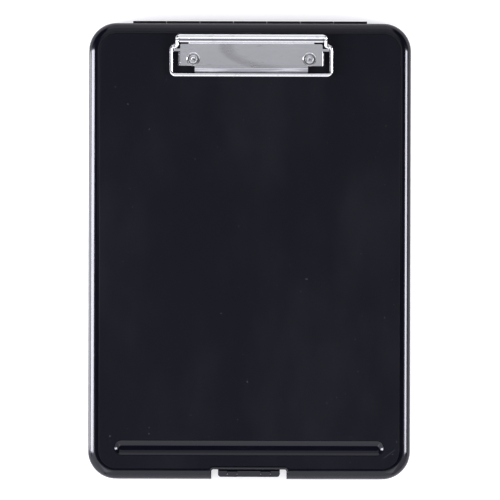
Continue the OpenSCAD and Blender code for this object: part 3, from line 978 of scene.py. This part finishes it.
# The valley between ridge and rail is round too, and touches both.
span_y, span_z = rail_at[0] - ridge_at[0], rail_at[1] - ridge_at[1]
span = math.hypot(span_y, span_z)
near_side, far_side = ridge_r + valley_r, rail_r + valley_r
along = (near_side**2 - far_side**2 + span**2) / (2 * span)
across = math.sqrt(near_side**2 - along**2)
valley_at = (
    ridge_at[0] + (along * span_y - across * span_z) / span,
    ridge_at[1] + (along * span_z + across * span_y) / span,
)


def bearing(centre, point):
    """The direction of a point from a centre, in degrees."""
    return math.degrees(math.atan2(point[1] - centre[1], point[0] - centre[0]))


ridge_turn = bearing(ridge_at, valley_at)
rail_turn = bearing(rail_at, valley_at) % 360
start = math.radians(ridge_start)
rail = ruled(
    "thumb_rail", rail_half, (ridge_at[0] + ridge_r * math.cos(start), ridge_at[1] + ridge_r * math.sin(start)),
    [(ridge_at, ridge_turn - ridge_start, 14), (valley_at, rail_turn - ridge_turn, 12), (rail_at, -rail_wrap, 40)],
)
thicken(rail, rail_wall, rail_cut_r)
place_clip(rail)
smooth(rail)


def rolled_bright(place):
    """Bright plating over drawn steel, worn in places, with painted shade along the rail's valley."""
    drawn = patches(place, 0.8 * mm, 3, (0.05, 0.6, 1))
    wear = between(patches(place, 5 * mm, 4), 0.58, 0.7)
    # Painted shade: the plating's colour darkens along the valley between the ridge and the rail.
    off_valley = abs(axis(place, "Y") - (clip_y + valley_at[0]))
    valley_shade = 1 - between(off_valley, 0.35 * mm, 0.85 * mm)
    shade = tint(wear, (0.97, 0.97, 0.95), (0.87, 0.87, 0.85))
    return {
        "Base Color": tint(valley_shade, shade, (0.26, 0.26, 0.27)),
        "Roughness": 0.05 + drawn * 0.04 + wear * 0.05,
        "Normal": bump(drawn, 0.001 * mm),
    }


bright_plated = finish("bright_plated_steel", {"Metallic": 1}, rolled_bright)
rail.data.materials.append(bright_plated)
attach(rail, "clip")
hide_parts("clip_thumb_rail")

# --- Wire bail --------------------------------------------------------
# One length of bright plated spring wire, bent on a former: the bar that holds the sheets,
# two legs, journals that turn in the plate's ears, and arms that end inside the rail.
wire_r = 1.4 * mm
bail_half = 60 * mm
bail_reach, bail_drop = 21.2 * mm, 0.95 * mm
bail_arm = math.hypot(bail_reach, bail_drop)
bail_tilt = math.atan2(bail_drop, bail_reach)
bail_bend = 3 * mm
leg_bend = 1.6 * mm
leg_end = bail_half - leg_bend
arm_x = 55.8 * mm
arm_start, arm_end = arm_x + leg_bend, arm_x - leg_bend
rail_arm = math.hypot(rail_at[0], rail_at[1])
rail_tilt = math.atan2(rail_at[1], rail_at[0])
rail_grip = 8 * mm
quarter = math.pi / 2


def bent_wire(name, start, moves, tilt):
    """A wire drawn level from a ring across X, in straights and bends, and then tilted about the pivot."""
    leave_edit()
    bpy.ops.mesh.primitive_circle_add(vertices=32, radius=wire_r, rotation=(0, quarter, 0), location=start)
    piece = added(name)
    pick(piece, "verts", everything)
    for run, centre, turn in moves:
        if any(run):
            bpy.ops.mesh.extrude_region_move(TRANSFORM_OT_translate={"value": run})
        if turn:
            spin(centre, (0, 0, 1), turn, 10)
    pick(piece, "verts", everything)
    bpy.ops.transform.rotate(value=-tilt, orient_axis="X", center_override=(0, 0, 0))
    return piece


bail = bent_wire(
    "wire_bail", (0, -bail_arm, 0),
    [
        ((bail_half - bail_bend, 0, 0), (bail_half - bail_bend, bail_bend - bail_arm, 0), quarter),
        ((0, bail_arm - bail_bend - leg_bend, 0), (leg_end, -leg_bend, 0), quarter),
    ],
    bail_tilt,
)
arm = bent_wire(
    "wire_arm", (arm_start, 0, 0),
    [
        ((0, 0, 0), (arm_start, leg_bend, 0), -quarter),
        ((0, rail_arm - 2 * leg_bend, 0), (arm_end, rail_arm - leg_bend, 0), quarter),
        ((-rail_grip, 0, 0), None, 0),
    ],
    rail_tilt,
)
pick(arm, "edges", lambda edge: edge.is_boundary and ends(lambda v: v.co.x < arm_end - mm)(edge))
bpy.ops.mesh.fill()
bail = joined([bail, arm])
pick(bail, "edges", lambda edge: edge.is_boundary and ends(lambda v: v.co.x > mm)(edge))
bpy.ops.mesh.bridge_edge_loops()
apply(bail, "MIRROR", use_clip=True)
place_clip(bail)
smooth(bail)
bail.data.materials.append(bright_plated)
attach(bail, "clip")
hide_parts("clip_wire_bail")

# --- Rivets -----------------------------------------------------------
# Two steel rivets, plated bright, hold the plate through the panel. Each has a round head
# with a small hollow, in the plate's dimple, and a tail that is flared under the washer.
head_z = panel_z + dimple_lift
head_r, head_h, head_round, head_foot_r = 3.15 * mm, 1.2 * mm, 0.85 * mm, 0.15 * mm
rivet_bore = 0.9 * mm
mouth_r = 0.85 * mm
shank_r = 1.75 * mm
tail_r, tail_round, tail_mouth_r = 2.75 * mm, 0.25 * mm, 0.2 * mm
tail_bore_h = 2.4 * mm
washer_t = 0.8 * mm
washer_z = roof_z - washer_t


def turned(name, radius, low, high, top_steps, bottom_steps, through=False):
    """A turned piece about Z: a disc, its ends worked in steps, with a bore right through if asked."""
    leave_edit()
    bpy.ops.mesh.primitive_cylinder_add(
        vertices=48, radius=radius, depth=high - low, location=(0, 0, (low + high) / 2)
    )
    piece = added(name)
    for side, steps in ((1, top_steps), (-1, bottom_steps)):
        pick(piece, "faces", lambda face: facing(side)(face) and len(face.verts) > 4)
        shape_face(steps)
        if through:
            bpy.ops.mesh.delete(type="FACE")
    if through:
        pick(piece, "verts", everything)
        bpy.ops.mesh.remove_doubles(threshold=0.005 * mm)
    return piece


def pair(piece, name_left, name_right):
    """Places a fixing and its copy on either side of the clip, the left one first."""
    both = []
    for side, name in ((-1, name_left), (1, name_right)):
        object_mode(piece)
        bpy.ops.object.duplicate()
        copy = bpy.context.object
        copy.name = name
        pick(copy, "verts", everything)
        shift(clip_x + side * rivet_x, clip_y + rivet_y, 0)
        smooth(copy)
        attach(copy, "lid")
        both.append(copy)
    bpy.data.objects.remove(piece)
    return both


head_steps = arc(head_round, 6, True) + [(head_r - head_round - rivet_bore - mouth_r, 0)] + arc(mouth_r, 6, False)
hollow_steps = [(0, 0.1 * mm + mouth_r - head_h), (0.15 * mm, -0.1 * mm), (0.25 * mm, -0.06 * mm)]
shank_steps = arc(head_foot_r, 2, True) + [(head_r - head_foot_r - shank_r, 0), (0, head_z - washer_z)]
tail_steps = [(shank_r - tail_r + 0.1 * mm, 0.05 * mm), (-0.1 * mm, 0.1 * mm), (0, 0.2 * mm)]
tail_steps += arc(tail_round, 3, True) + [(tail_r - tail_round - rivet_bore - tail_mouth_r, 0)]
tail_steps += arc(tail_mouth_r, 3, False) + [(0, -tail_bore_h)]
rivet = turned(
    "rivet", head_r, head_z + head_foot_r, head_z + head_h - head_round,
    head_steps + hollow_steps, shank_steps + tail_steps,
)


def formed_head(place):
    """Bright plating with turned lines, and painted shade in the hollow of each head."""
    turned_lines = patches(place, 0.5 * mm, 3)
    about_clip = vector(place, "SUBTRACT", (clip_x, clip_y + rivet_y, 0))
    about_rivet = vector(vector(about_clip, "ABSOLUTE"), "SUBTRACT", (rivet_x, 0, 0))
    out = vector(vector(about_rivet, "MULTIPLY", (1, 1, 0)), "LENGTH", out="Value")
    bright = tint(between(patches(place, 3 * mm, 3), 0.4, 0.7), (0.86, 0.86, 0.85), (0.93, 0.93, 0.92))
    # Painted shade: the colour darkens towards the middle of each head, in its hollow.
    hollow_shade = 1 - between(out, 0.7 * mm, 1.2 * mm)
    return {
        "Base Color": tint(hollow_shade * 0.75, bright, (0.3, 0.3, 0.31)),
        "Roughness": 0.26 + turned_lines * 0.1,
        "Normal": bump(turned_lines, 0.006 * mm),
    }


rivet.data.materials.append(finish("plated_rivet_steel", {"Metallic": 1}, formed_head))
rivets = pair(rivet, "rivet_l", "rivet_r")
for piece, node in zip(rivets, ("rivet_left", "rivet_right")):
    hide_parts(node)

# --- Washers ----------------------------------------------------------
# Plain zinc-plated steel washers under the lid's panel. They spread the load of the
# rivets' tails over the plastic.
washer_r, washer_bore, washer_round = 4.5 * mm, 1.8 * mm, 0.2 * mm
washer_face = [(washer_r - washer_bore - 2 * washer_round, 0)]
washer_steps = arc(washer_round, 3, True) + washer_face + arc(washer_round, 3, False)
washer_steps += [(0, washer_round - washer_t / 2)]
washer = turned(
    "washer", washer_r, washer_z + washer_round, washer_z + washer_t - washer_round,
    washer_steps, washer_steps, through=True,
)


def zinc_steel(place):
    """Zinc plating in soft clouds, with a fine grain."""
    grain = patches(place, 0.7 * mm, 4, (0.4, 1, 1))
    clouds = between(patches(place, 4 * mm, 4), 0.35, 0.7)
    return {
        "Base Color": tint(clouds, (0.48, 0.48, 0.49), (0.60, 0.60, 0.62)),
        "Roughness": 0.3 + grain * 0.16,
        "Normal": bump(grain, 0.006 * mm),
    }


zinc_plated = finish("zinc_plated_steel", {"Metallic": 1}, zinc_steel)
washer.data.materials.append(zinc_plated)
washers = pair(washer, "washer_l", "washer_r")
for piece, node in zip(washers, ("rivet_washer_left", "rivet_washer_right")):
    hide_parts(node)

# --- Hinge rod and latch pin ------------------------------------------
# Two straight lengths of drawn steel rod, pressed through the knuckles and through the lugs.
# Only their ends show, so their plain shapes are kept and take the steel's finish.
for node in ("lid_hinge_rod", "latch_pin"):
    pin = frame["nodes"][node]
    pin.data.materials.clear()
    pin.data.materials.append(zinc_plated)

# --- Floor ------------------------------------------------------------
# A white sweep under the case, in a white room. Both answer the camera, and the metal's
# reflections, brighter than they light the case, so the case's shadow stays.
floor_w = 3.2
paper_shade = 0.52
paper_glow = 1.25
leave_edit()
bpy.ops.mesh.primitive_plane_add(size=floor_w, location=(0, 0, -0.2 * mm))
floor = bpy.context.object
floor.name = "floor"
paper = bpy.data.materials.new("white_paper")
paper.use_nodes = True
start = Wire(paper.node_tree)


def rays(start, kinds):
    """1 for the kinds of ray named, 0 for the others."""
    return sum(start.node("LightPath", {}, {}, out=f"Is {kind} Ray") for kind in kinds)


def grey(mask):
    """A mask as a shade from black to white."""
    return tint(mask, (0, 0, 0), (1, 1, 1))


shader = paper.node_tree.nodes["Principled BSDF"]
shader.inputs["Base Color"].default_value = (paper_shade, paper_shade, paper_shade, 1)
shader.inputs["Roughness"].default_value = 0.9
shader.inputs["Specular IOR Level"].default_value = 0
shader.inputs["Emission Strength"].default_value = paper_glow
from_case = vector(start.node("TexCoord", {}, {}, out="Object"), "LENGTH", out="Value")
away = between(from_case, 0.45, 1.4)
glow = rays(start, ["Camera"]) * (0.496 + away * 0.48) + rays(start, ["Glossy", "Transmission"]) * 0.2
paper.node_tree.links.new(grey(glow).socket, shader.inputs["Emission Color"])
floor.data.materials.append(paper)

room_light = 0.04
world = bpy.data.worlds.new("studio")
bpy.context.scene.world = world
world.use_nodes = True
start = Wire(world.node_tree)
horizon = 1 - between(axis(start.node("TexCoord", {}, {}, out="Generated"), "Z"), 0.01, 0.12)
seen = rays(start, ["Camera"]) + rays(start, ["Glossy", "Transmission"]) * horizon
background = world.node_tree.nodes["Background"]
background.inputs["Strength"].default_value = 1
world.node_tree.links.new(grey(room_light + seen * (1 - room_light)).socket, background.inputs["Color"])

# --- Lamps ------------------------------------------------------------
# Two tall softboxes at the sides draw the bright lines on the rim, and panels and cards fill
# the rest. The plated pieces have a dim copy of the left softbox in place of it, and the
# rail and the wire have a card of their own.
softbox_far, softbox_w = 1.25, 0.42
panel_far, panel_w = 1.4, 1.2
plated_pieces = (clip_plate, strip, rail, bail, *rivets)


def area_lamp(name, place, turn, across, up, radiance, colour):
    """A rectangular lamp: its width, its height and how bright it looks."""
    bpy.ops.object.light_add(type="AREA", location=place, rotation=turn)
    lamp = bpy.context.object
    lamp.name = lamp.data.name = name
    lamp.data.shape = "RECTANGLE"
    lamp.data.size, lamp.data.size_y = across, up
    lamp.data.energy = radiance * math.pi * across * up
    lamp.data.color = colour
    lamp.visible_camera = False
    return lamp


def softbox(name, place, across, up, radiance):
    """A faintly blue lamp that faces the case."""
    turn = (Vector(place) - Vector((0, 0, 0.02))).to_track_quat("Z", "Y").to_euler()
    return area_lamp(name, place, turn, across, up, radiance, (0.96, 0.96, 1.08))


def ring_lamp(name, azimuth, low, high, distance, across, radiance):
    """A softbox that spans two elevations, seen from the case."""
    middle, half = math.radians((low + high) / 2), math.radians((high - low) / 2)
    reach = distance * math.cos(middle)
    turn = math.radians(azimuth)
    place = (reach * math.cos(turn), reach * math.sin(turn), distance * math.sin(middle))
    return softbox(name, place, across, 2 * distance * math.tan(half), radiance)


def receivers(lamp, pieces, state):
    """Keeps a lamp's light to some pieces, or off them."""
    group = bpy.data.collections.new(lamp.name)
    for piece in pieces:
        group.objects.link(piece)
    lamp.light_linking.receiver_collection = group
    for entry in group.collection_objects:
        entry.light_linking.link_state = state


left = ring_lamp("softbox_left", 180, 2, 40, softbox_far, softbox_w, 24)
receivers(left, plated_pieces, "EXCLUDE")
left_clip = ring_lamp("softbox_left_clip", 180, 2, 40, softbox_far, softbox_w, 0.8)
receivers(left_clip, plated_pieces, "INCLUDE")
ring_lamp("softbox_right", 0, 17, 40, softbox_far, softbox_w, 22)
ring_lamp("panel_front", -90, 1, 74, panel_far, panel_far, 1.18)
ring_lamp("panel_front_left", -141, 1, 60, panel_far, panel_w, 1.5)
ring_lamp("panel_front_right", -39, 8, 60, panel_far, panel_w, 0.85)
ring_lamp("panel_rear_low", 90, 4, 36, panel_far, panel_w, 0.92)
ring_lamp("panel_rear_high", 90, 36, 73, panel_far, panel_w, 0.55)
softbox("card_overhead", (0, 0.2, 1.7), 0.7, 0.34, 0.55)
receivers(softbox("card_overhead_rods", (0, 0.1, 1.7), 0.9, 0.9, 0.5), (rail, bail), "INCLUDE")
area_lamp("low_card_left", (-case_w / 2 - 85 * mm, 0, mm), (math.pi, 0, 0), 0.13, 0.3, 4.4, (1, 1, 1))

# --- Camera -----------------------------------------------------------
# It hangs straight above the case, far enough away for the sides not to show, and is
# turned a fraction of a degree.
camera_h = 16
frame_w = 375.25 * mm
sensor_w = 36
bpy.ops.object.camera_add(
    location=(0.375 * mm, 0.9 * mm, camera_h + 15.5 * mm), rotation=(0, 0, math.radians(0.16))
)
camera = bpy.context.object
camera.data.sensor_width = sensor_w
camera.data.lens = sensor_w * camera_h / frame_w
camera.data.clip_end = 60
bpy.context.scene.camera = camera
bpy.context.scene.view_settings.view_transform = "Standard"
